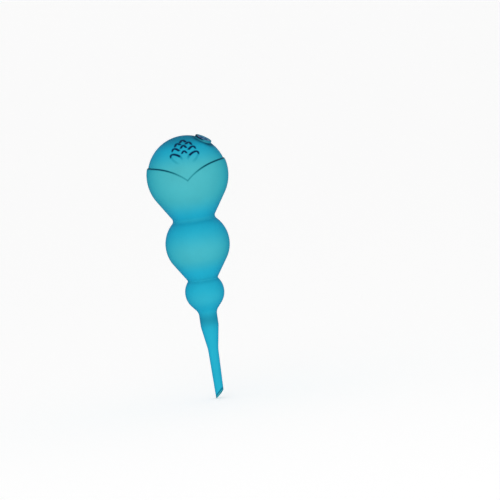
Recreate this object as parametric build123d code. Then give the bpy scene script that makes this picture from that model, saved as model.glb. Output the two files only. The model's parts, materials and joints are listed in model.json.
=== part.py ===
from build123d import *
from math import asin, atan2, cos, degrees, hypot, radians, sin, sqrt, tan
import os

# A plastic watering globe: one hollow moulding of three stacked lobes on a tapering open stem, and the
# stopper of its filler neck. Millimetres and degrees. The origin is on the axis at the middle of the straight
# collar, where the globe is held. +Z is up, +X is the side of the filler neck, and -Y is the front.

# The moulding's wall, measured square to the skin, and square to the axis in the stem.
wall = 1.2

# Three lobes. Each is a ball on a cone that touches it, and meets the ball below at a waist.
upper_lobe_radius = 41.1
upper_cone_angle = 33.0
upper_waist_radius = 20.03
upper_waist_flat = 2.1
middle_lobe_radius = 32.25
middle_cone_angle = 33.5
lower_waist_radius = 14.87
lower_waist_flat = 0.8
lower_lobe_radius = 19.7
lower_cone_angle = 40.0

# The collar under the lobes, then a steep taper, then the long slim spike down to the tip.
collar_radius = 9.05
collar_length = 10.0
collar_fillet = 9.0
taper_length = 24.0
taper_rounding = 14.0
spike_top_radius = 5.2
spike_rounding = 45.0
spike_length = 49.9
tip_radius = 4.2
tip_bevel_angle = 45.0
tip_bevel_turn = 20.0

# Two petals fold round the upper lobe. Their edges meet in a notch at the front and at the back. They stand
# proud of the dome at the sides, by the first step, and only a little at the notches, by the second.
petal_side_step = 1.2
petal_notch_step = 0.35
petal_notch_drop = 2.4
petal_crest_rise = 13.1
petal_crest_reach = 38.5

# The filler neck stands square on the upper lobe, leaning from the axis and turned to the front.
neck_lean = 32.5
neck_turn = 15.0
neck_radius = 8.6
neck_wall = 1.15
neck_rise = 2.5
neck_lip_chamfer = 0.35
mouth_ledge = 1.15
mouth_ledge_thickness = 1.3

# The stopper: a round head in the neck, and below it a ribbed spigot that seals in the mouth.
fit_clearance = 0.05
seat_clearance = 0.05
plug_recess = 0.35
plug_edge_chamfer = 0.5
spigot_length = 5.0
spigot_relief = 0.35
spigot_lead_in = 0.8
seal_rib_width = 1.2
seal_rib_depth_shares = (0.34, 0.7)
grip_dish_radius = 5.0
grip_dish_depth = 2.6
grip_rib_width = 1.6

# How far a cutting tool runs past what it cuts, and how near an edge lies to the place it is looked for at.
overrun = 1.0
touching = 0.01


def below(point, angle, distance):
    """The point that far down a cone's side, for a cone of that half angle that narrows downwards."""
    return point[0] - distance * sin(radians(angle)), point[1] - distance * cos(radians(angle))


def touch_point(radius, angle, height):
    """Where a cone of that half angle touches the underside of a ball at that height."""
    return radius * cos(radians(angle)), height - radius * sin(radians(angle))


def height_on_cone(radius, angle, foot):
    """The height of a ball whose touching cone ends at the foot, a point of radius and height."""
    side = (radius * cos(radians(angle)) - foot[0]) / tan(radians(angle))
    return foot[1] + side + radius * sin(radians(angle))


# Heights that follow from the sizes above.
cone_foot = (collar_radius, collar_length / 2 + collar_fillet * tan(radians(lower_cone_angle / 2)))
lower_lobe_height = height_on_cone(lower_lobe_radius, lower_cone_angle, cone_foot)
lower_waist_height = lower_lobe_height + sqrt(lower_lobe_radius**2 - lower_waist_radius**2)
middle_lobe_height = height_on_cone(
    middle_lobe_radius, middle_cone_angle, (lower_waist_radius, lower_waist_height)
)
upper_waist_height = middle_lobe_height + sqrt(middle_lobe_radius**2 - upper_waist_radius**2)
upper_lobe_height = height_on_cone(
    upper_lobe_radius, upper_cone_angle, (upper_waist_radius, upper_waist_height)
)
taper_angle = degrees(atan2(collar_radius - spike_top_radius, taper_length))
taper_top = -collar_length / 2 - taper_rounding * tan(radians(taper_angle / 2))
spike_top = taper_top - taper_length
tip_bottom = spike_top - spike_length

# The neck's own frame starts at the middle of the upper lobe and looks out through the mouth.
neck_direction = Vector(
    sin(radians(neck_lean)) * cos(radians(neck_turn)),
    -sin(radians(neck_lean)) * sin(radians(neck_turn)),
    cos(radians(neck_lean)),
)
neck_frame = Plane(
    origin=(0, 0, upper_lobe_height),
    x_dir=Vector(0, 0, 1).cross(neck_direction),
    z_dir=neck_direction,
)
mouth_radius = neck_radius - neck_wall
hole_radius = mouth_radius - mouth_ledge
dome_radius = upper_lobe_radius - petal_side_step
neck_rim = sqrt(dome_radius**2 - neck_radius**2) + neck_rise
ledge_height = sqrt((dome_radius - wall) ** 2 - hole_radius**2) + mouth_ledge_thickness


def ball_under_cone(start, angle, height, radius):
    """The corner where a cone's side, going down from its start, meets the ball below it."""
    across, up = start[0], start[1] - height
    along = across * sin(radians(angle)) + up * cos(radians(angle))
    distance = along - sqrt(along**2 - across**2 - up**2 + radius**2)
    return below(start, angle, distance)


def lobe_arc(radius, angle, height, top_angle):
    """A lobe's round side, from where its cone touches it up to the given angle above its middle."""
    return CenterArc((0, height), radius, -angle, angle + top_angle)


def angle_above(corner, height):
    """The angle above a lobe's middle at which a corner lies on it."""
    return degrees(atan2(corner[1] - height, corner[0]))


def upper_arcs(radius, inset):
    """The upper lobe's round side. Inside, it steps in to the dome a wall's depth below the notches."""
    if not inset:
        return [lobe_arc(radius, upper_cone_angle, upper_lobe_height, 90)]
    dome = radius - petal_side_step
    drop = petal_notch_drop + inset
    petal_top = -degrees(asin(drop / radius))
    dome_foot = -degrees(asin(drop / dome))
    petals = lobe_arc(radius, upper_cone_angle, upper_lobe_height, petal_top)
    rest = lobe_arc(dome, -dome_foot, upper_lobe_height, 90)
    return [petals, Line(petals @ 1, rest @ 0), rest]


def rounded(section, corner, radius):
    """The section with the corner nearest to the given point rounded."""
    return section.fillet_2d(radius, [section.vertices().sort_by_distance(Vector(*corner))[0]])


def flattened(section, corner, distance):
    """The section with the corner nearest to the given point cut off flat, that far along each side."""
    nearest = section.vertices().sort_by_distance(Vector(*corner))[0]
    return section.chamfer_2d(distance, distance, [nearest])


def globe_section(inset):
    """Half of the globe's section, drawn a given distance inside its outer skin.

    The skin's waists end in a narrow flat and its other corners are rounded. Inside, the corners stay
    sharp, and the moulding is a little thicker there.
    """
    upper, middle, lower = (
        lobe - inset for lobe in (upper_lobe_radius, middle_lobe_radius, lower_lobe_radius)
    )
    upper_touch = touch_point(upper, upper_cone_angle, upper_lobe_height)
    middle_touch = touch_point(middle, middle_cone_angle, middle_lobe_height)
    lower_touch = touch_point(lower, lower_cone_angle, lower_lobe_height)
    upper_waist = ball_under_cone(upper_touch, upper_cone_angle, middle_lobe_height, middle)
    lower_waist = ball_under_cone(middle_touch, middle_cone_angle, lower_lobe_height, lower)
    collar = collar_radius - inset
    cone_side = (lower_touch[0] - collar) / sin(radians(lower_cone_angle))
    cone_end = below(lower_touch, lower_cone_angle, cone_side)
    taper_start = (collar, taper_top)
    spike_start = (spike_top_radius - inset, spike_top)
    tip = (tip_radius - inset, tip_bottom)
    upper_side = upper_arcs(upper, inset)
    outline = upper_side + [
        Line(upper_touch, upper_waist),
        lobe_arc(middle, middle_cone_angle, middle_lobe_height, angle_above(upper_waist, middle_lobe_height)),
        Line(middle_touch, lower_waist),
        lobe_arc(lower, lower_cone_angle, lower_lobe_height, angle_above(lower_waist, lower_lobe_height)),
        Polyline(lower_touch, cone_end, taper_start, spike_start, tip, (0, tip_bottom)),
        Line((0, tip_bottom), upper_side[-1] @ 1),
    ]
    section = make_face(Wire.combine([edge for line in outline for edge in line.edges()])[0]).face()
    if inset:
        return section
    section = flattened(section, upper_waist, upper_waist_flat)
    section = flattened(section, lower_waist, lower_waist_flat)
    section = rounded(section, cone_end, collar_fillet)
    section = rounded(section, taper_start, taper_rounding)
    return rounded(section, spike_start, spike_rounding)


def turned(section):
    """The solid that a half section makes about the axis."""
    return revolve(Plane.XZ * section, Axis.Z)


def dome_trim():
    """What comes off the upper lobe above the petals' edges, so that the petals stand proud."""
    reach = upper_lobe_radius + overrun
    drop = petal_notch_drop + petal_crest_rise
    edge_radius = (petal_crest_reach**2 + drop**2) / (2 * drop)
    crest = (petal_crest_reach, petal_crest_rise)
    notch = (0, -petal_notch_drop)
    middle_turn = atan2(petal_crest_reach, edge_radius - drop) / 2
    on_edge = (
        petal_crest_reach - edge_radius * sin(middle_turn),
        petal_crest_rise - edge_radius * (1 - cos(middle_turn)),
    )
    half = [
        ThreePointArc(notch, on_edge, crest),
        Polyline(crest, (reach, petal_crest_rise), (reach, reach), (0, reach), notch),
    ]
    outline = make_face(Wire.combine([edge for line in half for edge in line.edges()])[0])
    above = extrude(Plane.XZ * outline, reach, both=True)
    front_share = (upper_lobe_radius - petal_notch_step) / dome_radius
    dome = scale(Sphere(dome_radius), by=(1, front_share, 1))
    trim = (Sphere(reach) - dome) & (above + mirror(above, Plane.YZ))
    return Pos(0, 0, upper_lobe_height) * trim


def neck_post():
    """The filler neck as a plain post from inside the wall to its rim."""
    foot = dome_radius - wall - overrun
    post = Cylinder(neck_radius, neck_rim - foot, align=(Align.CENTER, Align.CENTER, Align.MIN))
    return neck_frame * Pos(0, 0, foot) * post


def mouth_bore():
    """The wide bore that takes the stopper's head, and the smaller hole through the wall under it."""
    bore_depth = neck_rim - ledge_height
    hole_depth = neck_rim - (dome_radius - wall) + mouth_radius
    from_top = (Align.CENTER, Align.CENTER, Align.MAX)
    bore = Pos(0, 0, neck_rim + overrun) * Cylinder(mouth_radius, bore_depth + overrun, align=from_top)
    hole = Pos(0, 0, neck_rim) * Cylinder(hole_radius, hole_depth, align=from_top)
    return neck_frame * (bore + hole)


def tip_plane():
    """The slanted plane that opens the tip. Its high side faces +X and a little to the front."""
    normal = Vector(
        -sin(radians(tip_bevel_angle)) * cos(radians(tip_bevel_turn)),
        sin(radians(tip_bevel_angle)) * sin(radians(tip_bevel_turn)),
        cos(radians(tip_bevel_angle)),
    )
    crossing = tip_bottom + tip_radius * tan(radians(tip_bevel_angle))
    return Plane(origin=(0, 0, crossing), z_dir=normal)


def neck_edges(solid, radius, height):
    """The edges that run round the neck's axis at that radius and height."""
    def strays(edge):
        spots = [neck_frame.to_local_coords(edge @ share) for share in (0, 0.5)]
        return max(abs(hypot(spot.X, spot.Y) - radius) + abs(spot.Z - height) for spot in spots)
    return [edge for edge in solid.edges() if strays(edge) < touching]


def globe_body():
    """The one-piece moulding."""
    skin = turned(globe_section(0)) - dome_trim() + neck_post()
    shell = skin - turned(globe_section(wall)) - mouth_bore()
    shell = chamfer(neck_edges(shell, neck_radius, neck_rim), neck_lip_chamfer)
    return split(shell, bisect_by=tip_plane(), keep=Keep.TOP)


def filler_plug():
    """The stopper, seated: its head in the neck's bore, its ribbed spigot through the mouth."""
    head_bottom = ledge_height + seat_clearance
    head_top = neck_rim - plug_recess
    head_radius = mouth_radius - fit_clearance
    rib_radius = hole_radius - fit_clearance
    core_radius = hole_radius - spigot_relief
    spigot_end = head_bottom - spigot_length
    half_rib = seal_rib_width / 2
    ribs = []
    for share in seal_rib_depth_shares:
        rib_height = head_bottom - spigot_length * share
        ribs += [
            (core_radius, rib_height + half_rib),
            (rib_radius, rib_height),
            (core_radius, rib_height - half_rib),
        ]
    outline = Polyline(
        (0, head_top),
        (head_radius - plug_edge_chamfer, head_top),
        (head_radius, head_top - plug_edge_chamfer),
        (head_radius, head_bottom),
        (core_radius, head_bottom),
        *ribs,
        (core_radius, spigot_end + spigot_lead_in),
        (core_radius - spigot_lead_in, spigot_end),
        (0, spigot_end),
        close=True,
    )
    plug = turned(make_face(outline))
    dish = Cylinder(grip_dish_radius, grip_dish_depth, align=(Align.CENTER, Align.CENTER, Align.MAX))
    rib = Box(2 * grip_dish_radius, grip_rib_width, 2 * grip_dish_depth)
    return neck_frame * (plug - Pos(0, 0, head_top) * (dish - rib))


os.makedirs("parts", exist_ok=True)
export_step(globe_body(), "parts/globe_body.step")
export_step(filler_plug(), "parts/filler_plug.step")

print(f"lobe middles at {upper_lobe_height:.2f}, {middle_lobe_height:.2f} and {lower_lobe_height:.2f}")
print(f"waists at {upper_waist_height:.2f} and {lower_waist_height:.2f}")
print(f"taper from {taper_top:.2f}, spike from {spike_top:.2f} to the tip at {tip_bottom:.2f}")
print(f"neck rim {neck_rim:.2f} and ledge {ledge_height:.2f} from the middle of the upper lobe")
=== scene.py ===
# %% [markdown]
# A watering globe holds water in three hollow lobes and lets it out slowly through the open tip of its
# stem. The whole globe is one thin moulding of frosted blue plastic, and a soft stopper closes its neck.
# A real one is blown inside a mould and has no seams, so its skin is built here as one closed surface too,
# ring after ring.

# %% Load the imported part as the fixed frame
import json
import math

import bpy
import numpy as np
from mathutils import Matrix, Vector


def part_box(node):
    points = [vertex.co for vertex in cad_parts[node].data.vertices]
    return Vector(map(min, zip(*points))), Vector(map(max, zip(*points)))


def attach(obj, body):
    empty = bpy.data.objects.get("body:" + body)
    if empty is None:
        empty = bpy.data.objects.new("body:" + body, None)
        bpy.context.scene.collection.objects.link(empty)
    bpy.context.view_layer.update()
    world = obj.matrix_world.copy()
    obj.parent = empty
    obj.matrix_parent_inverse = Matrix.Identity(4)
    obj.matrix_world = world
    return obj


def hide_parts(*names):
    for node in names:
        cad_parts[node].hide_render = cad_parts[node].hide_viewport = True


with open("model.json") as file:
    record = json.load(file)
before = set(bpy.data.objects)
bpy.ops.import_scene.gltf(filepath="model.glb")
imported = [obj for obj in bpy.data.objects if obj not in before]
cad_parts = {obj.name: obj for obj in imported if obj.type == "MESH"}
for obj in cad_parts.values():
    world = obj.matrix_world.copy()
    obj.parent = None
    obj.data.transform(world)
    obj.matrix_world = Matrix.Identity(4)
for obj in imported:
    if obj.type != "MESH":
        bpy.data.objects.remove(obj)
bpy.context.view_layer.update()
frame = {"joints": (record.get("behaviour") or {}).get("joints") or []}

# %% [markdown]
# The frame fixes how far the upper lobe reaches, where its top is, how low the tip comes and which way
# the neck points. The other sizes are the moulding's own. Each lobe is a ball that sits on a cone, and
# each cone ends in a waist on the ball below it.

# %% Sizes of the moulding
MM = 0.001
low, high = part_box("globe_body")
frame_clearance = 0.01 * MM

wall = 1.2 * MM
petal_side_step = 1.2 * MM
petal_notch_step = 0.35 * MM
upper_radius = min(high.x, -low.x) - frame_clearance
middle_radius = 32.25 * MM
lower_radius = 19.7 * MM
cone_angles = np.radians([33.0, 33.5, 40.0])
upper_waist_radius = 20.03 * MM
lower_waist_radius = 14.87 * MM
waist_fillets = [4.0 * MM, 1.8 * MM]

collar_radius = 9.05 * MM
collar_length = 10.0 * MM
collar_fillet = 9.0 * MM
taper_length = 24.0 * MM
taper_rounding = 14.0 * MM
spike_top_radius = 5.2 * MM
spike_rounding = 45.0 * MM
tip_radius = 4.2 * MM
tip_bottom = low.z
tip_bevel = math.radians(45.0)
tip_bevel_turn = math.radians(20.0)
tip_edge = 0.18 * MM


def next_middle(height, radius, angle, waist, next_radius):
    """The height of the middle of the next ball, which meets the waist at the end of this one's cone."""
    touch = height - radius * math.sin(angle)
    waist_height = touch - (radius * math.cos(angle) - waist) / math.tan(angle)
    return waist_height - math.sqrt(next_radius**2 - waist**2)


dome_radius = upper_radius - petal_side_step
upper_middle = high.z - dome_radius
middle_middle = next_middle(upper_middle, upper_radius, cone_angles[0], upper_waist_radius, middle_radius)
lower_middle = next_middle(middle_middle, middle_radius, cone_angles[1], lower_waist_radius, lower_radius)
upper_waist_height = middle_middle + math.sqrt(middle_radius**2 - upper_waist_radius**2)
lower_waist_height = lower_middle + math.sqrt(lower_radius**2 - lower_waist_radius**2)
lobe_middles = [upper_middle, middle_middle, lower_middle]
lobe_radii = [upper_radius, middle_radius, lower_radius]
print("lobe middles at", [round(height / MM, 2) for height in lobe_middles], "mm")

# %% [markdown]
# Every piece is made from rings of points that are joined into faces. Plain stretches need fewer points
# than fine detail, so a ring may have half as many as the one before it: each face between them takes
# three points from one ring and two from the other. A ring of a single point closes a pole.

# %% Rings of points to a mesh


def ring_side(start, count, faces):
    """The points that each of so many faces takes from a ring: one at a pole, else two or three."""
    if count == 1:
        return [np.full(faces, start)]
    steps = count // faces
    return [start + (steps * np.arange(faces) + step) % count for step in range(steps + 1)]


def ring_faces(first, second):
    """The faces between two rings, each given as the number of its first point and its count of points."""
    fewer, more = sorted((first[1], second[1]))
    faces = fewer if fewer > 1 else more
    here, there = ring_side(*first, faces), ring_side(*second, faces)
    return np.stack(here[:1] + there + here[:0:-1], axis=1).tolist()


def piece_from_rings(name, rings, closed=False, attributes={}):
    """A mesh object from rings of points, where a closed one joins its last ring to its first.

    Each attribute is an array of one number for each point.
    """
    counts = [len(ring) for ring in rings]
    starts = np.concatenate([[0], np.cumsum(counts)]).astype(int)
    ends = list(zip(starts, counts))
    following = ends[1:] + ends[:1] if closed else ends[1:]
    faces = [face for one, two in zip(ends, following) for face in ring_faces(one, two)]
    mesh = bpy.data.meshes.new(name)
    mesh.from_pydata(np.concatenate(rings).tolist(), [], faces)
    mesh.polygons.foreach_set("use_smooth", np.ones(len(mesh.polygons), bool))
    for label, values in attributes.items():
        attribute = mesh.attributes.new(label, "FLOAT", "POINT")
        attribute.data.foreach_set("value", values.astype(np.float32))
    mesh.update()
    piece = bpy.data.objects.new(name, mesh)
    bpy.context.scene.collection.objects.link(piece)
    print(name, "has", starts[-1], "points and", sum(len(face) - 2 for face in faces), "triangles")
    return piece


def smooth(value, start, end):
    """0 before start and 1 after end, with a soft S between: t squared times (3 - 2t)."""
    t = np.clip((value - start) / (end - start), 0, 1)
    return t * t * (3 - 2 * t)


def bell(value, width, power=2):
    """1 at a value of 0, falling off on both sides: e to the minus power of the value over the width."""
    return np.exp(-((value / width) ** power))


# %% [markdown]
# All rings of the globe have their points at the same turns about the axis. The turns lie closer together
# at the front, where the scales and the petals' edges need them, and two fall exactly on the notches where
# the petals meet, at the front and at the back.

# %% Turns about the axis
fine_count = 320
front = -math.pi / 2
front_density = 0.45

half_way = np.arange(fine_count // 2) / (fine_count // 2)
spread = front_density * half_way + (1 - front_density) * half_way**2
right_turns = front + math.pi * spread
left_turns = front + 2 * math.pi - math.pi * np.concatenate([[1.0], spread[:0:-1]])
fine_turns = np.concatenate([right_turns, left_turns])


def turns(count):
    """The turns of a ring of that many points: every second or fourth of the fine ones."""
    return fine_turns[:: fine_count // count]


def round_points(angle, radius, height):
    """Points at those turns about the axis: radius times cosine and sine of the turn, and the height."""
    height = np.broadcast_to(height, angle.shape)
    return np.stack([radius * np.cos(angle), radius * np.sin(angle), height], axis=1)


def flat_ring(radius, height, count):
    """A level ring about the axis."""
    return round_points(turns(count), radius, height)


print("turns are", round(math.degrees(fine_turns[1] - front), 2), "degrees apart at the front")

# %% [markdown]
# The filler neck leans out of the upper lobe. Its own frame is the level one, tipped the shortest way
# until its upright is the neck's axis. So a ring in that frame keeps the same turns, and the skin can run
# from the neck to the level rings below without a twist. The axis is that of the stopper's slide.

# %% The neck's frame and sizes
lobe_middle = np.array([0.0, 0.0, upper_middle])
slide = Vector(frame["joints"][0]["axis"]).normalized()
neck_frame = np.array(Vector((0, 0, 1)).rotation_difference(slide).to_matrix())
neck_axis = np.array(slide)

neck_radius = 8.6 * MM
neck_wall = 1.15 * MM
neck_rise = 2.5 * MM
neck_foot_fillet = 0.9 * MM
lip_rounding = 0.4 * MM
lip_rows = 6
foot_rows = 8
mouth_ledge = 1.15 * MM
mouth_ledge_thickness = 1.3 * MM
mouth_radius = neck_radius - neck_wall
hole_radius = mouth_radius - mouth_ledge
neck_foot = math.sqrt(dome_radius**2 - neck_radius**2)
neck_rim = neck_foot + neck_rise
ledge_height = math.sqrt((dome_radius - wall) ** 2 - hole_radius**2) + mouth_ledge_thickness


def neck_ring(radius, height, count):
    """A ring about the neck's axis, at a height along it from the middle of the upper lobe."""
    return lobe_middle + flat_ring(radius, height, count) @ neck_frame.T


def corner_arc(centre, radius, start, end, count):
    """Places on a circle in the plane of distance from the axis and height, between two angles."""
    angle = np.radians(np.linspace(start, end, count))
    return np.stack([centre[0] + radius * np.cos(angle), centre[1] + radius * np.sin(angle)], axis=1)


print("the neck's rim stands", round(neck_rim / MM, 2), "mm from the middle of the upper lobe")

# %% [markdown]
# Two petals fold round the upper lobe and stand proud of the dome. Seen from the front, each edge is an
# arc of a circle that climbs from the notch in the middle to its crest at the side. The edge could be cut
# with a boolean, but then its corner would be as sharp everywhere. Here it is a height over the ball: the
# dome is an ellipsoid that meets the petals almost flush at the notches and lies lower at the sides. The
# petal ends in a rounded lip, and a groove runs along it that gets shallow at the notch.

# %% The petals' edges
petal_notch_drop = 3.0 * MM
petal_crest_rise = 12.5 * MM
petal_crest_reach = 38.5 * MM
petal_lip_drop = 1.0 * MM
petal_lip_width = 2.7 * MM
edge_groove_depth = 0.35 * MM
edge_groove_width = 0.7 * MM
edge_passes = 40
notch_share = 0.2
edge_fade = (3.0 * MM, 24.0 * MM)
edge_line_offset = -0.1 * MM
edge_line_width = 0.8 * MM
edge_line_least = 0.2
edge_line_most = 0.78
line_power = 4

edge_drop = petal_notch_drop + petal_crest_rise
edge_radius = (petal_crest_reach**2 + edge_drop**2) / (2 * edge_drop)
edge_centre_height = petal_crest_rise - edge_radius


def unit(points):
    """Each point as a direction of length 1."""
    return points / np.linalg.norm(points, axis=1, keepdims=True)


def above_edge(directions):
    """How far a place on the ball lies above the petals' edge: its distance outside the edge's circle."""
    across = upper_radius * np.abs(directions[:, 0])
    rise = upper_radius * directions[:, 2]
    return np.hypot(across - petal_crest_reach, rise - edge_centre_height) - edge_radius


def from_notch(directions, least, most):
    """A value that grows from the least at the notch to the most out at the sides."""
    across = upper_radius * np.abs(directions[:, 0])
    return least + (most - least) * smooth(across, *edge_fade)


def edge_directions(count):
    """Directions from the lobe's middle to the petals' edge, one over each turn.

    The edge's height depends on the place across, and that on the height. Working out one from the other
    over and over settles both.
    """
    angle = turns(count)
    rise = np.zeros(count)
    for _ in range(edge_passes):
        reach = np.sqrt(upper_radius**2 - rise**2)
        inward = petal_crest_reach - reach * np.abs(np.cos(angle))
        rise = edge_centre_height + np.sqrt(edge_radius**2 - inward**2)
    return unit(round_points(angle, reach, rise))


def petal_surface(directions):
    """A petal's height over the ball, which is its lip's fall, a quarter of an ellipse, and no line."""
    strength = from_notch(directions, notch_share, 1)
    near = np.clip(1 + above_edge(directions) / (petal_lip_width * strength), 0, 1)
    return -petal_lip_drop * strength * (1 - np.sqrt(1 - near**2)), 0.0


def dome_height(directions):
    """Height of the dome over the ball: an ellipsoid that is fuller at the front, less the groove.

    Its reach in a direction is one over the root of the sum of the direction's squares, each over the
    square of the ellipsoid's own reach that way. The groove is bell-shaped.
    """
    forward = directions[:, 1] ** 2
    front_reach = upper_radius - petal_notch_step
    reach = 1 / np.sqrt((1 - forward) / dome_radius**2 + forward / front_reach**2)
    groove = edge_groove_depth * bell(above_edge(directions), edge_groove_width)
    return reach - upper_radius - groove * from_notch(directions, notch_share, 1)


def edge_line(directions):
    """How dark the painted shade line along the petals' edge is, in and beside the groove."""
    mark = bell(above_edge(directions) - edge_line_offset, edge_line_width, line_power)
    return mark * from_notch(directions, edge_line_least, edge_line_most)


print("the petals' edge is an arc of", round(edge_radius / MM, 1), "mm radius, seen from the front")

# %% [markdown]
# A fan of nine scales is moulded on the front of the dome. They overlap like tiles, the lower ones on
# top, and all point away from one root. Each is a slim leaf that is highest along its tip and sinks into
# the dome towards the root. A dark line of painted shade marks the tip, in the step down to the next
# scale, and it is broader on the far scales. The scales are laid one after another, so that each hides
# what it covers of those behind it.

# %% The fan of scales
fan_turn = math.radians(-89.2)
fan_lift = math.radians(41.0)
fan_root_drop = 17.0 * MM
fan_facing = (0.5, 0.7)
scale_half_length = 8.8 * MM
scale_half_width = 3.5 * MM
scale_point = 1.7
scale_rise = 0.42 * MM
scale_sink_length = 1.7 * scale_half_length
scale_groove_depth = 0.3 * MM
scale_line_width = 0.63 * MM
scale_line_growth = 0.027
scale_edge_width = 0.22 * MM
run_fade_before = 0.6 * MM
run_fade_after = 1.0 * MM
tail_fade_start = 0.6
inner_tail_share = 0.3
outer_tail_share = 0.12
tiny = 1e-9

# Each row: turn from the fan's middle line in degrees, then in millimetres the reach of the tip from the
# root, how far the dark line runs back from the tip on the inner and on the outer side, and its faint tail.
scale_rows = [
    (0.0, 33.0, 3.9, 3.9, 0.0),
    (12.3, 29.3, 3.5, 3.4, 0.0),
    (0.0, 23.9, 3.4, 3.4, 0.0),
    (25.2, 24.4, 6.2, 2.0, 0.0),
    (0.0, 16.3, 2.6, 2.6, 0.0),
    (41.7, 20.3, 9.0, 1.6, 15.0),
]


def direction(turn, lift):
    """The direction at a turn about the axis and a lift above the level."""
    level = math.cos(lift)
    return np.array([level * math.cos(turn), level * math.sin(turn), math.sin(lift)])


fan_out = direction(fan_turn, fan_lift)
fan_right = np.array([-math.sin(fan_turn), math.cos(fan_turn), 0.0])
fan_up = np.cross(fan_out, fan_right)


def one_scale(across, up, turn, reach):
    """How far each place is behind a scale's tip, to the side of its middle, and outside its outline.

    The outline is a pointed ellipse: the shares of its half length and half width, each raised to a power
    under two, add up to one. That sum's root less one, over its slope, is close to the true distance.
    """
    axis_across, axis_up = math.sin(turn), math.cos(turn)
    behind = reach - (across * axis_across + up * axis_up)
    aside = across * axis_up - up * axis_across
    along_share = np.abs(behind - scale_half_length) / scale_half_length
    aside_share = np.abs(aside) / scale_half_width
    value = np.maximum(along_share**scale_point + aside_share**scale_point, tiny) ** (1 / scale_point)
    along_slope = (along_share / value) ** (scale_point - 1) / scale_half_length
    aside_slope = (aside_share / value) ** (scale_point - 1) / scale_half_width
    return behind, aside, (value - 1) / np.hypot(along_slope, aside_slope)


def dome_surface(directions):
    """The dome's height over the ball with the fan of scales on it, and how dark the painted shade of the
    fan's lines is.
    """
    across = upper_radius * (directions @ fan_right)
    up = upper_radius * (directions @ fan_up) + fan_root_drop
    height = np.zeros(len(directions))
    line = np.zeros(len(directions))
    for turn, reach, inner_run, outer_run, tail in scale_rows:
        for side in ((-1, 1) if turn else (1,)):
            behind, aside, outside = one_scale(across, up, side * math.radians(turn), reach * MM)
            covered = smooth(outside, scale_edge_width, -scale_edge_width)
            rise = scale_rise * (1 - smooth(behind, 0, scale_sink_length))
            outer = side * aside > 0
            run = np.where(outer, outer_run, inner_run) * MM
            marked = 1 - smooth(behind, run - run_fade_before, run + run_fade_after)
            if tail:
                share = np.where(outer, outer_tail_share, inner_tail_share)
                tail_left = 1 - smooth(behind, tail_fade_start * tail * MM, tail * MM)
                marked = np.maximum(marked, share * tail_left)
            width = scale_line_width + scale_line_growth * reach * MM
            height = height * (1 - covered) + rise * covered
            line = np.maximum(line * (1 - covered), bell(outside, width, line_power) * marked)
    facing = smooth(directions @ fan_out, *fan_facing)
    return dome_height(directions) + (height - scale_groove_depth * line) * facing, line * facing


print("the fan has", sum(2 if row[0] else 1 for row in scale_rows), "scales")

# %% [markdown]
# The upper lobe's rings start on the rim of the neck, come down its outside and round its foot, and open
# out over the dome to the petals' edge. Between the foot and the edge each column of points follows a
# great circle of the ball. Just above the edge the rings lie close together, so that the step is crisp.

# %% Rings of the upper lobe
dome_rows = 138
petal_rows = 14
petal_foot_angle = math.radians(17.0)
near_above_edge = np.array([3.0, 2.4, 1.9, 1.5, 1.2, 0.95, 0.72, 0.52, 0.34, 0.18, 0.05]) * MM
near_below_edge = np.array([0.0, 0.1, 0.25, 0.45, 0.7, 1.1, 1.7, 2.4, 3.2]) * MM


def angle_between(start, end):
    """The angle between each pair of directions."""
    return np.arccos(np.clip((start * end).sum(axis=1), -1, 1))


def great_circle(start, end, share):
    """Directions part of the way from start to end along the great circle through both."""
    angle = angle_between(start, end)
    share = np.broadcast_to(share, angle.shape)
    from_start = np.sin((1 - share) * angle) / np.sin(angle)
    from_end = np.sin(share * angle) / np.sin(angle)
    return from_start[:, None] * start + from_end[:, None] * end


def ball_rings(start, end, shares, surface):
    """Rings from start to end, lifted off the ball by the surface's height, and their lines' darkness."""
    rings, lines = [], []
    for share in shares:
        directions = great_circle(start, end, share)
        height, line = surface(directions)
        rings.append(lobe_middle + directions * (upper_radius + height)[:, None])
        lines.append(np.maximum(line, edge_line(directions)))
    return rings, lines


def neck_outside():
    """Rings from the top of the lip down the neck's outside and round its foot, and the foot's reach.

    The foot's fillet rests on the neck and on the dome, so its middle is one fillet radius from both.
    """
    fillet_across = neck_radius + neck_foot_fillet
    fillet_height = math.sqrt((dome_radius + neck_foot_fillet) ** 2 - fillet_across**2)
    foot_angle = math.degrees(math.atan2(fillet_height, fillet_across))
    lip_middle = (neck_radius - lip_rounding, neck_rim - lip_rounding)
    lip = corner_arc(lip_middle, lip_rounding, 90, 0, lip_rows)
    foot = corner_arc((fillet_across, fillet_height), neck_foot_fillet, 180, 180 + foot_angle, foot_rows)
    places = np.concatenate([lip, foot])
    return [neck_ring(radius, height, fine_count) for radius, height in places], foot[-1]


def dome_rings(foot):
    """Rings over the dome, from the neck's foot to just above the petals' edge."""
    start = unit(flat_ring(foot[0], foot[1], fine_count) @ neck_frame.T)
    end = edge_directions(fine_count)
    length = upper_radius * angle_between(start, end)
    shares = [(1 - near_above_edge[0] / length) * row / dome_rows for row in range(1, dome_rows)]
    shares += [1 - distance / length for distance in near_above_edge]
    return ball_rings(start, end, shares, dome_surface)


def petal_rings(lowest):
    """Rings from the petals' edge down to a level ring at a lowest angle under the lobe's middle."""
    start = edge_directions(fine_count)
    level = flat_ring(math.cos(lowest), -math.sin(lowest), fine_count)
    length = upper_radius * angle_between(start, level)
    shares = [distance / length for distance in near_below_edge]
    last = shares[-1]
    shares += [last + (1 - last) * row / petal_rows for row in range(1, petal_rows + 1)]
    return ball_rings(start, level, shares, petal_surface)


neck_part, foot_place = neck_outside()
dome_part, dome_lines = dome_rings(foot_place)
petal_part, petal_lines = petal_rings(petal_foot_angle)
outer_rings = neck_part + dome_part + petal_part
outer_lines = [np.zeros(fine_count) for _ in neck_part] + dome_lines + petal_lines
print("the upper lobe has", len(outer_rings), "rings so far")

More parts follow.
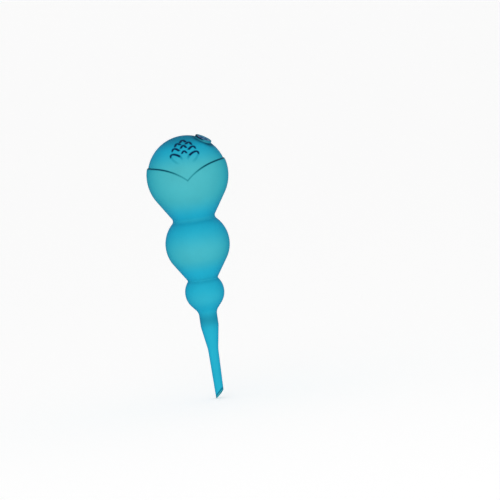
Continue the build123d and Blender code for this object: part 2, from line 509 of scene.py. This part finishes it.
# %% [markdown]
# Below the petals everything is round about the axis, so a profile in the plane of distance and height
# is enough: an arc down each ball, its cone, and a small fillet where the cone meets the next ball. The
# fillet touches both, so its middle lies one fillet radius off the cone and off the ball.

# %% Profile from the petals to the collar
ball_rows = [11, 43, 25]
cone_rows = 8
fillet_rows = 9


def cone_direction(angle):
    """The way down a cone's side, as a step across and a step up."""
    return np.array([-math.sin(angle), -math.cos(angle)])


def straight(start, end, count):
    """Places spread evenly after the start, as far as the end."""
    share = np.arange(1, count + 1)[:, None] / count
    return start + (end - start) * share


def angle_of(place, centre):
    """The angle, in degrees, at which a place is seen from a centre."""
    return math.degrees(math.atan2(place[1] - centre[1], place[0] - centre[0]))


def waist(touch, angle, ball, ball_radius, fillet):
    """Where a fillet leaves the cone, the fillet's middle, and where it lands on the ball below."""
    down = cone_direction(angle)
    outward = np.array([-down[1], down[0]])
    base = touch + fillet * outward - ball
    along = base @ down
    distance = -along - math.sqrt(along**2 - base @ base + (ball_radius + fillet) ** 2)
    centre = ball + base + distance * down
    return centre - fillet * outward, centre, ball + (centre - ball) * ball_radius / (ball_radius + fillet)


def lobes_profile(top_angle, inset, fillets, ball_rows, cone_rows):
    """The profile from an angle on the upper lobe to the end of the lower one's ball, or inside it."""
    parts = []
    radii = [radius - inset for radius in lobe_radii]
    angle = -math.degrees(top_angle)
    for number, cone_angle in enumerate(cone_angles):
        ball = np.array([0.0, lobe_middles[number]])
        arc = corner_arc(ball, radii[number], angle, -math.degrees(cone_angle), ball_rows[number] + 1)
        parts.append(arc[1:] if number else arc)
        if number == 2:
            return np.concatenate(parts)
        below = np.array([0.0, lobe_middles[number + 1]])
        leaves, centre, lands = waist(arc[-1], cone_angle, below, radii[number + 1], fillets[number])
        parts.append(straight(arc[-1], leaves, cone_rows))
        if fillets[number]:
            turns_of_fillet = angle_of(leaves, centre) % 360, angle_of(lands, centre) % 360
            parts.append(corner_arc(centre, fillets[number], *turns_of_fillet, fillet_rows)[1:])
        angle = angle_of(lands, below)


lobes_part = lobes_profile(petal_foot_angle, 0.0, waist_fillets, ball_rows, cone_rows)[1:]
lobe_rings = [flat_ring(radius, height, fine_count // 2) for radius, height in lobes_part]
print("the lobes' profile has", len(lobe_rings), "rings")

# %% [markdown]
# Under the lower lobe the cone runs into a straight collar, the collar into a steep taper and the taper
# into the long spike. Each corner is rounded by an arc that is tangent to the two straight stretches.
# The tip is cut off at a slant, so the last rings are let down bit by bit until they lie in the slanted
# plane, and a tiny rounding leads over the cut edge to the bore. Cutting the tip with a plane would leave
# long thin faces along the cut.

# %% Profile of the stem
stem_count = fine_count // 4
stem_roundings = [collar_fillet, taper_rounding, spike_rounding]
stem_arc_rows = [10, 5, 6]
stem_straight_rows = [3, 6, 14, 18]
bevel_length = 2.2 * tip_radius
bevel_passes = 3
cut_shares = np.concatenate([np.linspace(0, 0.6, 4)[1:], np.linspace(0.6, 0.94, 12)[1:]])
edge_bend = 0.3

taper_angle = math.atan2(collar_radius - spike_top_radius, taper_length)
taper_top = -collar_length / 2 - taper_rounding * math.tan(taper_angle / 2)
spike_top = taper_top - taper_length
bevel_middle = tip_bottom + tip_radius * math.tan(tip_bevel)
bevel_start = bevel_middle + bevel_length


def rounded_corner(before, corner, after, radius, count):
    """An arc that touches both stretches at a corner. It starts and ends one tangent length off."""
    to_before = (before - corner) / np.linalg.norm(before - corner)
    to_after = (after - corner) / np.linalg.norm(after - corner)
    half = math.acos(np.clip(to_before @ to_after, -1, 1)) / 2
    middle = (to_before + to_after) / np.linalg.norm(to_before + to_after)
    centre = corner + middle * radius / math.sin(half)
    first = angle_of(corner + to_before * radius / math.tan(half), centre)
    last = angle_of(corner + to_after * radius / math.tan(half), centre)
    turn = (last - first + 180) % 360 - 180
    return corner_arc(centre, radius, first, first + turn, count)


def stem_corners(inset):
    """The stem's corners a wall's depth inside the skin, or on the skin with no inset."""
    lower = lower_radius - inset
    angle = cone_angles[2]
    touch = np.array([lower * math.cos(angle), lower_middle - lower * math.sin(angle)])
    side = (touch[0] - (collar_radius - inset)) / math.sin(angle)
    return np.array([
        touch,
        touch + side * cone_direction(angle),
        (collar_radius - inset, taper_top),
        (spike_top_radius - inset, spike_top),
        (tip_radius - inset, tip_bottom),
    ])


def spike_radius(height, inset):
    """The spike's radius at a height, on the straight line from its top to the tip."""
    share = (height - tip_bottom) / (spike_top - tip_bottom)
    return tip_radius + (spike_top_radius - tip_radius) * share - inset


def cut_height(across, forward):
    """The height of the slanted cut: its middle height and its slope times the reach that way."""
    reach = math.cos(tip_bevel_turn) * across - math.sin(tip_bevel_turn) * forward
    return bevel_middle + math.tan(tip_bevel) * reach


def slanted_ring(share, radius_change, inset=0.0):
    """A ring on its way from level, at share 0, to the slanted cut, at share 1."""
    angle = turns(stem_count)
    radius = np.full(stem_count, tip_radius - inset)
    for _ in range(bevel_passes):
        cut = cut_height(radius * np.cos(angle), radius * np.sin(angle))
        height = bevel_start + share * (cut - bevel_start)
        radius = spike_radius(height, inset) + radius_change
    return round_points(angle, radius, height)


def stem_profile():
    """The profile from the lower lobe's cone down the collar and taper to the spike's straight stretch."""
    corners = stem_corners(0.0)
    place = corners[0]
    parts = []
    for number, radius in enumerate(stem_roundings):
        arc = rounded_corner(*corners[number : number + 3], radius, stem_arc_rows[number])
        parts += [straight(place, arc[0], stem_straight_rows[number]), arc[1:]]
        place = arc[-1]
    end = np.array([spike_radius(bevel_start, 0.0), bevel_start])
    return np.concatenate(parts + [straight(place, end, stem_straight_rows[-1])])


edge_share = tip_edge / tip_radius
stem_rings = [flat_ring(radius, height, stem_count) for radius, height in stem_profile()]
stem_rings += [slanted_ring(share, 0.0) for share in cut_shares]
stem_rings += [
    slanted_ring(1.0 - edge_share, 0.0),
    slanted_ring(1.0 - edge_bend * edge_share, -edge_bend * tip_edge),
    slanted_ring(1.0, -tip_edge),
    slanted_ring(1.0, tip_edge, wall),
    slanted_ring(1.0 - edge_share, 0.0, wall),
]
print("the stem has", len(stem_rings), "rings")

# %% [markdown]
# The inside follows one wall's depth behind the skin, back up through the stem and the lobes, and closes
# on the rim of the neck. It is only seen through the tip and, with the stopper out, through the mouth,
# so its corners stay sharp and it has fewer rings. Thickening the skin by a modifier couldn't make the
# ledge that the stopper rests on.

# %% Rings of the inside
inside_foot_angle = math.radians(6.0)
inside_stem_rows = [8, 4, 3, 3]
inside_ball_rows = [7, 15, 15]
inside_cone_rows = 4
inside_dome_rows = 28
hole_drop = 0.25 * MM
ledge_bevel = 0.2 * MM
ledge_corner = 0.1 * MM


def inside_profile():
    """The profile up the inside, from the spike to a level ring under the middle of the upper lobe."""
    places = [np.array([spike_radius(bevel_start, wall), bevel_start]), *stem_corners(wall)[3::-1]]
    stem = [straight(*ends) for ends in zip(places, places[1:], inside_stem_rows)]
    lobes = lobes_profile(inside_foot_angle, wall, [0.0, 0.0], inside_ball_rows, inside_cone_rows)
    return np.concatenate([places[0][None, :]] + stem + [lobes[-2::-1]])


def inside_dome_rings():
    """Rings inside the upper lobe, from that level ring along great circles to the hole under the mouth."""
    radius = dome_radius - wall
    end = unit(flat_ring(hole_radius, math.sqrt(radius**2 - hole_radius**2), stem_count) @ neck_frame.T)
    start = flat_ring(math.cos(inside_foot_angle), -math.sin(inside_foot_angle), stem_count)
    shares = np.linspace(0, 1, inside_dome_rows)
    return [lobe_middle + great_circle(start, end, share) * radius for share in shares]


def mouth_rings():
    """Rings up through the hole, over the ledge and up the bore to the lip."""
    lip_middle = (mouth_radius + lip_rounding, neck_rim - lip_rounding)
    places = [
        (hole_radius + ledge_bevel, ledge_height),
        (mouth_radius - ledge_corner, ledge_height),
        (mouth_radius, ledge_height + ledge_corner),
        *corner_arc(lip_middle, lip_rounding, 180, 90, lip_rows),
    ]
    hole = neck_ring(hole_radius, ledge_height - hole_drop, fine_count // 2)
    return [hole] + [neck_ring(radius, height, fine_count) for radius, height in places]


inner_rings = [slanted_ring(share, 0.0, wall) for share in cut_shares[::-1]]
inner_rings += [flat_ring(radius, height, stem_count) for radius, height in inside_profile()]
inner_rings += inside_dome_rings()
inner_rings += mouth_rings()
print("the inside has", len(inner_rings), "rings")

# %% [markdown]
# Three numbers are stored with every point of the skin for the material: how dark the painted shade lines
# are there, in the grooves, over the tip's cut and in the stopper's gap; how deep the painted shade is at
# the waists, the collar, the crown and the neck's foot; and how strong the painted glow is on a lobe's
# belly, where light shines through. Painting an image would do it too, but numbers on the points need no
# unwrapping.

# %% Painted shade and painted glow on the skin
# Each lobe: how strong the painted glow on its belly is, then the levels in lobe radii between which the
# glow comes in from the top, and those between which it goes out towards the cone's foot.
belly_glows = [
    (1.0, 0.75, 0.15, -0.5, -1.02),
    (0.77, 0.6, -0.25, -0.4, -0.9),
    (0.22, 0.3, -0.35, -0.4, -0.9),
]
# Painted shade at each waist and the collar: the height of the darkest place, how dark it is, and its
# width.
waist_shades = [
    (upper_waist_height - 0.3 * MM, 0.14, 2.6 * MM),
    (lower_waist_height, 0.1, 2.6 * MM),
    (0.5 * MM, 0.34, 7.0 * MM),
]
crown_shade = 0.38
crown_levels = (0.66, 0.95)
neck_shade = 0.06
neck_shade_top = neck_foot + 0.4 * neck_rise
neck_glow = 0.6
foot_shade_least = 0.58
foot_shade_most = 0.8
foot_shade_reach = 1.2 * MM
foot_shade_width = 3.0 * MM
foot_shade_heights = (neck_foot + 0.9 * MM, neck_foot + 0.2 * MM)
shoulder_shade = 0.25
shoulder_reach = 8.0 * MM
shoulder_turn = math.radians(-20)
shoulder_fade = (0.4, 0.9)
lip_line_turn = math.radians(212)
lip_line_fade = (0.4, 0.75)
lip_line_least = 0.15
lip_line_radii = (mouth_radius - 1.9 * MM, mouth_radius - 0.95 * MM)
lip_line_heights = (neck_rim - 0.9 * MM, neck_rim - 0.45 * MM)
cut_line = 0.65
cut_line_height = 1.05 * MM
cut_line_width = 0.5 * MM
cut_rim_heights = (0.65 * MM, 0.325 * MM)


def together(first, second):
    """Two shades, one over the other: what the first leaves light is darkened by the second."""
    return 1 - (1 - first) * (1 - second)


def belly_glow(points):
    """Painted glow of light shining through a lobe's belly at each point: soft steps from its top down and
    from its cone up.
    """
    value = np.zeros(len(points))
    for middle, radius, (share, top, full, waning, foot) in zip(lobe_middles, lobe_radii, belly_glows):
        level = (points[:, 2] - middle) / radius
        value = np.maximum(value, share * smooth(level, top, full) * smooth(level, foot, waning))
    return value


def painted_waist_and_crown_shade(points):
    """Painted shade: a bell of the height at each waist and the collar, and a soft step up to the crown."""
    value = crown_shade * smooth((points[:, 2] - upper_middle) / upper_radius, *crown_levels)
    for height, depth, width in waist_shades:
        value = value + depth * bell(points[:, 2] - height, width)
    return value


def in_neck_frame(points):
    """Each point's distance from the neck's axis, turn, height along it, and if it is the neck's own."""
    place = (points - lobe_middle) @ neck_frame
    radius, height = np.hypot(place[:, 0], place[:, 1]), place[:, 2]
    on_neck = (radius < neck_radius + neck_foot_fillet) & (height > ledge_height - wall)
    return radius, np.arctan2(place[:, 1], place[:, 0]), height, on_neck


def neck_shadow(points):
    """Painted shade on the neck's wall, and painted shadow in a bell round its foot and on the dome's
    shoulder on its right.
    """
    radius, turn, height, on_neck = in_neck_frame(points)
    above = height > 0
    rightward = smooth(np.cos(turn - shoulder_turn), *shoulder_fade)
    foot = foot_shade_least + (foot_shade_most - foot_shade_least) * rightward
    foot = foot * bell(radius - neck_radius - foot_shade_reach, foot_shade_width)
    foot = foot * above * smooth(height, *foot_shade_heights)
    shoulder = shoulder_shade * bell(np.maximum(radius - neck_radius, 0), shoulder_reach)
    walls = neck_shade * smooth(height, neck_foot, neck_shade_top)
    return together(foot, np.where(on_neck, walls, shoulder * rightward * above))


def lip_gap_shadow(points):
    """How dark the painted shadow of the stopper's gap is, from the stopper's edge over the lip. It fades
    by the cosine of the turn.
    """
    radius, turn, height, on_neck = in_neck_frame(points)
    strength = lip_line_least + (1 - lip_line_least) * smooth(np.cos(turn - lip_line_turn), *lip_line_fade)
    return on_neck * strength * smooth(radius, *lip_line_radii) * smooth(height, *lip_line_heights)


def above_cut(points):
    """Each point's distance from the plane of the tip's slanted cut."""
    return (points[:, 2] - cut_height(points[:, 0], points[:, 1])) * math.cos(tip_bevel)


skin_rings = outer_rings + lobe_rings + stem_rings
skin_points = np.concatenate(skin_rings)
inner_points = np.concatenate(inner_rings)
# Painted shade: the scales' and petals' lines in their grooves, a band just above the tip's cut, the
# stopper's gap, the waists, collar, crown and neck. Painted glow: the lobes' bellies, the neck's wall, the
# rim of the tip's cut and the whole inside.
painted_groove_lines = np.concatenate(outer_lines + [np.zeros(len(ring)) for ring in lobe_rings + stem_rings])
cut_shade_band = cut_line * bell(above_cut(skin_points) - cut_line_height, cut_line_width)
skin_lines = together(together(painted_groove_lines, cut_shade_band), lip_gap_shadow(skin_points))
skin_shade = together(painted_waist_and_crown_shade(skin_points), neck_shadow(skin_points))
skin_glow = np.maximum(belly_glow(skin_points), neck_glow * in_neck_frame(skin_points)[3])
skin_glow = np.maximum(skin_glow, smooth(above_cut(skin_points), *cut_rim_heights))
stored = {
    "line": np.concatenate([skin_lines, lip_gap_shadow(inner_points)]),
    "shade": np.concatenate([skin_shade, neck_shadow(inner_points)]),
    "belly_glow": np.concatenate([skin_glow, np.ones(len(inner_points))]),
}
for label, values in stored.items():
    print("the largest value of", label, "is", round(float(values.max()), 2))

# %% [markdown]
# The outside runs from the neck's rim down to the tip and the inside back up to the rim, so both together
# are one band of rings that closes on itself. Two shells joined along their rims could come apart.

# %% The globe as one closed piece
globe = piece_from_rings("globe_skin", skin_rings + inner_rings, True, stored)

# %% [markdown]
# The stopper is soft rubber. Its head fills the neck's bore, with a finger dish and a rib across it to
# pinch, and a spigot with two pointed ribs hangs through the mouth. The head's top could be carved with
# booleans, but a height over the disc does it in one surface: the dish is a soft step down towards the
# middle, and the rib takes that step away again along one line.

# %% The stopper
fit_clearance = 0.05 * MM
plug_recess = 0.35 * MM
plug_edge = 0.7 * MM
plug_edge_rows = 7
spigot_length = 5.0 * MM
spigot_relief = 0.35 * MM
spigot_lead_in = 0.8 * MM
seal_rib_width = 1.2 * MM
seal_rib_depth_shares = (0.34, 0.7)
seal_rib_steps = np.linspace(-1, 1, 7)
grip_dish_radius = 5.0 * MM
grip_dish_depth = 2.6 * MM
grip_rib_width = 1.6 * MM
dish_wall_width = 0.5 * MM
dish_middle_radius = 0.25 * MM
dish_floor_radius = grip_dish_radius - dish_wall_width
plug_count = 160

head_top = neck_rim - plug_recess
head_bottom = ledge_height + fit_clearance
head_radius = mouth_radius - fit_clearance
dish_radii = np.concatenate([
    np.linspace(dish_middle_radius, dish_floor_radius, 20),
    np.linspace(dish_floor_radius, grip_dish_radius, 6)[1:],
    np.linspace(grip_dish_radius, head_radius - plug_edge, 6)[1:-1],
])
rib_direction = np.cross([0.0, 0.0, 1.0], neck_axis)
across_rib = np.cross(neck_axis, rib_direction / np.linalg.norm(rib_direction))


def plug_ring(radius, height, dish=0.0):
    """A ring of the stopper, let down by the dish's depth except near the middle line of the rib."""
    angle = 2 * math.pi * np.arange(plug_count) / plug_count
    ring = round_points(angle, radius, height)
    aside = np.abs(ring @ neck_frame.T @ across_rib)
    rib = smooth(aside, (grip_rib_width + dish_wall_width) / 2, (grip_rib_width - dish_wall_width) / 2)
    ring[:, 2] -= dish * (1 - rib)
    return lobe_middle + ring @ neck_frame.T


def plug_profile():
    """The stopper's profile from the head's edge to the end of the spigot."""
    core = hole_radius - spigot_relief
    ridge = hole_radius - fit_clearance
    end = head_bottom - spigot_length
    edge = corner_arc((head_radius - plug_edge, head_top - plug_edge), plug_edge, 90, 0, plug_edge_rows)
    places = [*edge, (head_radius, head_bottom), (core, head_bottom)]
    for share in seal_rib_depth_shares:
        height = head_bottom - spigot_length * share
        for step in seal_rib_steps:
            places.append((core + (ridge - core) * (1 - step**2), height - step * seal_rib_width / 2))
    return places + [(core, end + spigot_lead_in), (core - spigot_lead_in, end)]


dish_depths = grip_dish_depth * smooth(dish_radii, grip_dish_radius, dish_floor_radius)
plug_rings = [neck_ring(0.0, head_top, 1)]
plug_rings += [plug_ring(radius, head_top, depth) for radius, depth in zip(dish_radii, dish_depths)]
plug_rings += [plug_ring(radius, height) for radius, height in plug_profile()]
plug_rings += [neck_ring(0.0, head_bottom - spigot_length, 1)]
# The painted shadow of the gap over the lip also lies on the stopper's edge.
plug_lines = lip_gap_shadow(np.concatenate(plug_rings))
plug_stored = {"line": plug_lines, "shade": np.zeros(len(plug_lines))}
plug = piece_from_rings("filler_stopper", plug_rings, False, plug_stored)

# %% [markdown]
# Frosted plastic and soft rubber share two effects. The first is the fine grain that a blasted mould
# leaves: a bump and a slightly cloudy tone. The second is painted shade: the stored painted shade, and the
# painted dark lines where a sharp step catches no light, take the colour to a deep navy. Both are node
# groups with named inputs, used by both materials with their own values.

# %% Node groups
grey = (0.5, 0.5, 0.5, 1.0)


def set_inputs(tree, node, inputs):
    """Sets inputs by name or place: a value is set, and another node's output is linked."""
    for label, value in inputs.items():
        if isinstance(value, bpy.types.NodeSocket):
            tree.links.new(value, node.inputs[label])
        else:
            node.inputs[label].default_value = value


def add_node(tree, kind, inputs, **settings):
    """A new node with its settings, which come first as they can change its inputs, and its inputs."""
    node = tree.nodes.new("ShaderNode" + kind)
    for label, value in settings.items():
        setattr(node, label, value)
    set_inputs(tree, node, inputs)
    return node


def maths(tree, operation, *values):
    """The result of an operation on those values."""
    return add_node(tree, "Math", dict(enumerate(values)), operation=operation).outputs[0]


def mixed(tree, factor, first, second):
    """The colour that is a share of the way from the first to the second."""
    node = add_node(tree, "Mix", {"Factor": factor, "A": first, "B": second}, data_type="RGBA")
    return node.outputs["Result"]


def stored_value(tree, label):
    """The number stored with the points under that name."""
    return add_node(tree, "Attribute", {}, attribute_name=label).outputs["Fac"]


def new_group(name, inputs, outputs):
    """An empty shader node group, what goes into it and what comes out. A colour has four values."""
    group = bpy.data.node_groups.new(name, "ShaderNodeTree")
    for side, sockets in (("INPUT", inputs), ("OUTPUT", outputs)):
        for label, value in sockets.items():
            kind = "NodeSocketColor" if isinstance(value, tuple) else "NodeSocketFloat"
            group.interface.new_socket(name=label, in_out=side, socket_type=kind).default_value = value
    return group, group.nodes.new("NodeGroupInput").outputs, group.nodes.new("NodeGroupOutput")


def mould_grain_group():
    """Grain of a blasted mould: fine noise for the surface and broad noise for the tone."""
    scales = {"Grain Scale": 900.0, "Cloud Scale": 60.0}
    depths = {"Cloud Depth": 0.05, "Roughness": 0.5, "Roughness Depth": 0.1}
    made = {"Height": 0.5, "Tone": 1.0, "Roughness": 0.5}
    group, given, result = new_group("mould_grain", {**scales, **depths}, made)
    place = add_node(group, "TexCoord", {}).outputs["Object"]
    grain = add_node(group, "TexNoise", {"Vector": place, "Scale": given["Grain Scale"], "Detail": 3.0})
    cloud = add_node(group, "TexNoise", {"Vector": place, "Scale": given["Cloud Scale"], "Detail": 4.0})
    darkest = maths(group, "SUBTRACT", 1.0, given["Cloud Depth"])
    lightest = maths(group, "ADD", 1.0, given["Cloud Depth"])
    levels = {"From Min": 0.3, "From Max": 0.7, "To Min": darkest, "To Max": lightest}
    tone = add_node(group, "MapRange", {"Value": cloud.outputs["Fac"], **levels})
    centred = maths(group, "SUBTRACT", cloud.outputs["Fac"], 0.5)
    rough = maths(group, "MULTIPLY_ADD", centred, given["Roughness Depth"], given["Roughness"])
    outcome = {"Height": grain.outputs["Fac"], "Tone": tone.outputs["Result"], "Roughness": rough}
    set_inputs(group, result, outcome)
    return group


def painted_shade_group():
    """Colour of the surface, toned, then darkened by the piece's own painted shade and painted line values.

    The painted shade mixes the line colour in. A painted line first raises the colour to a power over one,
    which takes out red before green, as a longer way through tinted plastic does, and then mixes the line
    colour in.
    """
    inputs = {"Color": grey, "Line Color": grey, "Tone": 1.0, "Deepening": 1.0}
    group, given, result = new_group("painted_shade", inputs, {"Color": grey})
    line, shade = stored_value(group, "line"), stored_value(group, "shade")
    toned = add_node(group, "VectorMath", {0: given["Color"], "Scale": given["Tone"]}, operation="SCALE")
    shaded = mixed(group, shade, toned.outputs["Vector"], given["Line Color"])
    power = maths(group, "MULTIPLY_ADD", line, given["Deepening"], 1.0)
    deep = add_node(group, "Gamma", {"Color": shaded, "Gamma": power}).outputs["Color"]
    set_inputs(group, result, {"Color": mixed(group, line, deep, given["Line Color"])})
    return group


grain_group = mould_grain_group()
line_group = painted_shade_group()
print("groups:", grain_group.name, line_group.name)

# %% [markdown]
# The plastic is tinted through. Light that skims the frosted skin passes more of it than light that meets
# it head on, so each lobe is deeper blue towards its outline. A tinted coat that hardly reflects does
# that. Subsurface scattering could do it too, but it would blur the fine dark lines. The rubber is duller
# and a little more violet, and has no coat.

# %% Materials
coat_tint = (0.38, 0.75, 0.83, 1.0)


def colour(red, green, blue):
    """A colour written as a screen shows it, from 0 to 255, as the linear values that nodes work with."""
    screen = np.array([red, green, blue]) / 255
    linear = np.where(screen <= 0.04045, screen / 12.92, ((screen + 0.055) / 1.055) ** 2.4)
    return (*linear.tolist(), 1.0)


def new_material(name):
    """A node material, its tree and its Principled shader."""
    material = bpy.data.materials.new(name)
    material.use_nodes = True
    return material, material.node_tree, material.node_tree.nodes["Principled BSDF"]


def grained_and_lined(tree, shader, grain, line, bump, surface):
    """Joins both groups and a bump, each with its own inputs, to the shader, and sets its other inputs."""
    grained = add_node(tree, "Group", grain, node_tree=grain_group).outputs
    lined = add_node(tree, "Group", {**line, "Tone": grained["Tone"]}, node_tree=line_group).outputs
    bumped = add_node(tree, "Bump", {**bump, "Height": grained["Height"]}).outputs
    made = {"Base Color": lined["Color"], "Roughness": grained["Roughness"], "Normal": bumped["Normal"]}
    set_inputs(tree, shader, {**made, **surface})


def frosted_plastic():
    """The globe's plastic: teal where the painted glow lies on the lobes' bellies, and deeper blue where
    the painted shade lies.
    """
    material, tree, shader = new_material("frosted_plastic")
    # The second colour is that of the painted glow, and the navy line colour that of the painted shade and
    # dark lines.
    tint = mixed(tree, stored_value(tree, "belly_glow"), colour(62, 208, 231), colour(126, 215, 216))
    line = {"Color": tint, "Line Color": colour(0, 12, 68), "Deepening": 1.5}
    grain = {"Grain Scale": 1400.0, "Cloud Scale": 45.0, "Cloud Depth": 0.035, "Roughness Depth": 0.12}
    coat = {"Coat Weight": 1.0, "Coat IOR": 1.03, "Coat Roughness": 0.4, "Coat Tint": coat_tint}
    surface = {"IOR": 1.45, "Specular IOR Level": 0.2, **coat}
    grained_and_lined(tree, shader, grain, line, {"Distance": 0.1 * MM, "Strength": 0.7}, surface)
    return material


def soft_rubber():
    """The stopper's rubber: a duller, more violet blue with a coarser grain."""
    material, tree, shader = new_material("soft_rubber")
    # The navy line colour is that of the painted shadow of the gap along the stopper's edge.
    line = {"Color": colour(54, 112, 156), "Line Color": colour(0, 24, 60), "Deepening": 1.0}
    grain = {"Grain Scale": 1100.0, "Cloud Scale": 140.0, "Cloud Depth": 0.025, "Roughness": 0.62}
    grained_and_lined(tree, shader, grain, line, {"Distance": 0.12 * MM, "Strength": 0.8}, {"IOR": 1.4})
    return material


globe.data.materials.append(frosted_plastic())
plug.data.materials.append(soft_rubber())
print("materials:", globe.data.materials[0].name, plug.data.materials[0].name)

# %% [markdown]
# The globe stands still and the stopper is pulled out along the neck's axis. Each piece is tied to its
# own body, so that the two move as the real ones do and no pose leaves one of them behind.

# %% Fasten the pieces to the frame
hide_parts("globe_body")
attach(globe, "globe")
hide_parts("filler_plug")
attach(plug, "plug")

# %% [markdown]
# The floor is one wide flat disc under the tip, and the surround beyond it is as white, so no edge shows
# from any side. A curved backdrop would do that from the front only. Its rings grow wider outwards.

# %% Floor
floor_radii = np.geomspace(0.05, 60.0, 24)
floor_count = 80
floor_glow = 0.26
seen_lift = 0.02


def any_ray(tree, *kinds):
    """1 for a ray of any of those kinds, and 0 for all others."""
    rays = add_node(tree, "LightPath", {}).outputs
    mask = rays[kinds[0]]
    for kind in kinds[1:]:
        mask = maths(tree, "MAXIMUM", mask, rays[kind])
    return mask


def paper_white():
    """The floor's material: white paper with a faint glow, lifted to full white where it is looked at."""
    material, tree, shader = new_material("paper_white")
    set_inputs(tree, shader, {"Base Color": (0.88, 0.88, 0.88, 1.0), "Roughness": 0.9, "IOR": 1.1})
    seen = any_ray(tree, "Is Camera Ray", "Is Glossy Ray", "Is Transmission Ray")
    strength = maths(tree, "MULTIPLY_ADD", seen, seen_lift, floor_glow)
    glow = add_node(tree, "Emission", {"Strength": strength})
    both = add_node(tree, "AddShader", {0: shader.outputs[0], 1: glow.outputs[0]})
    set_inputs(tree, tree.nodes["Material Output"], {"Surface": both.outputs[0]})
    return material


floor_rings = [flat_ring(radius, tip_bottom, floor_count) for radius in floor_radii]
floor_rings = [flat_ring(0.0, tip_bottom, 1)] + floor_rings
floor = piece_from_rings("floor", floor_rings)
floor.data.materials.append(paper_white())

# %% [markdown]
# The camera looks at the globe from a little above. The globe leans in the picture, so the camera is
# rolled and the model stays upright. A long lens far away keeps the three lobes in their true proportions.

# %% Camera
camera_distance = 4.0
frame_width = 0.5
sensor_width = 36.0
view_elevation = math.radians(5.0)
view_roll = math.radians(8.35)
lobe_pixel = (187.45, 175.0)
picture_pixels = 500

pixel = frame_width / picture_pixels
across = (picture_pixels / 2 - lobe_pixel[0]) * pixel
upwards = (lobe_pixel[1] - picture_pixels / 2) * pixel
tilt = Matrix.Rotation(math.pi / 2 - view_elevation, 4, "X") @ Matrix.Rotation(-view_roll, 4, "Z")

camera_data = bpy.data.cameras.new("camera")
camera_data.sensor_width = sensor_width
camera_data.lens = sensor_width * camera_distance / frame_width
camera = bpy.data.objects.new("camera", camera_data)
back_off = Matrix.Translation((across, upwards, camera_distance))
camera.matrix_world = Matrix.Translation(lobe_middle) @ tilt @ back_off
bpy.context.scene.collection.objects.link(camera)
bpy.context.scene.camera = camera
print("the lens is", round(camera_data.lens), "mm long, and a pixel is", round(pixel / MM, 2), "mm")

# %% [markdown]
# A white surround lights the globe from all sides, as a tent of paper does, and is weaker overhead. One
# large soft lamp in front, a little to the left, gives the lobes their rounding. Hard lamps would model
# them more, but their reflections and shadows would break the frosted skin.

# %% Lights
horizon_strength = 0.96
zenith_strength = 0.66
key_turn = math.radians(-100)
key_lift = math.radians(25)
key_distance = 2.4
key_size = 1.6
key_power = 4.2

world = bpy.data.worlds.new("studio")
world.use_nodes = True
studio = world.node_tree
upness = add_node(studio, "SeparateXYZ", {0: add_node(studio, "TexCoord", {}).outputs["Generated"]})
strengths = {"To Min": horizon_strength, "To Max": zenith_strength}
level = add_node(studio, "MapRange", {"Value": upness.outputs["Z"], **strengths})
seen = any_ray(studio, "Is Camera Ray", "Is Glossy Ray")
strength = add_node(studio, "Mix", {"Factor": seen, "A": level.outputs["Result"], "B": 1.0})
backdrop = {"Color": (1.0, 1.0, 1.0, 1.0), "Strength": strength.outputs["Result"]}
set_inputs(studio, studio.nodes["Background"], backdrop)
bpy.context.scene.world = world

key_data = bpy.data.lights.new("key", "AREA")
key_data.size = key_size
key_data.energy = key_power
key = bpy.data.objects.new("key", key_data)
outward = Vector(direction(key_turn, key_lift))
place = Vector((0, 0, middle_middle)) + outward * key_distance
key.matrix_world = Matrix.Translation(place) @ outward.to_track_quat("Z", "Y").to_matrix().to_4x4()
bpy.context.scene.collection.objects.link(key)
bpy.context.scene.view_settings.view_transform = "Standard"
print("one lamp at", [round(value, 2) for value in key.matrix_world.translation])
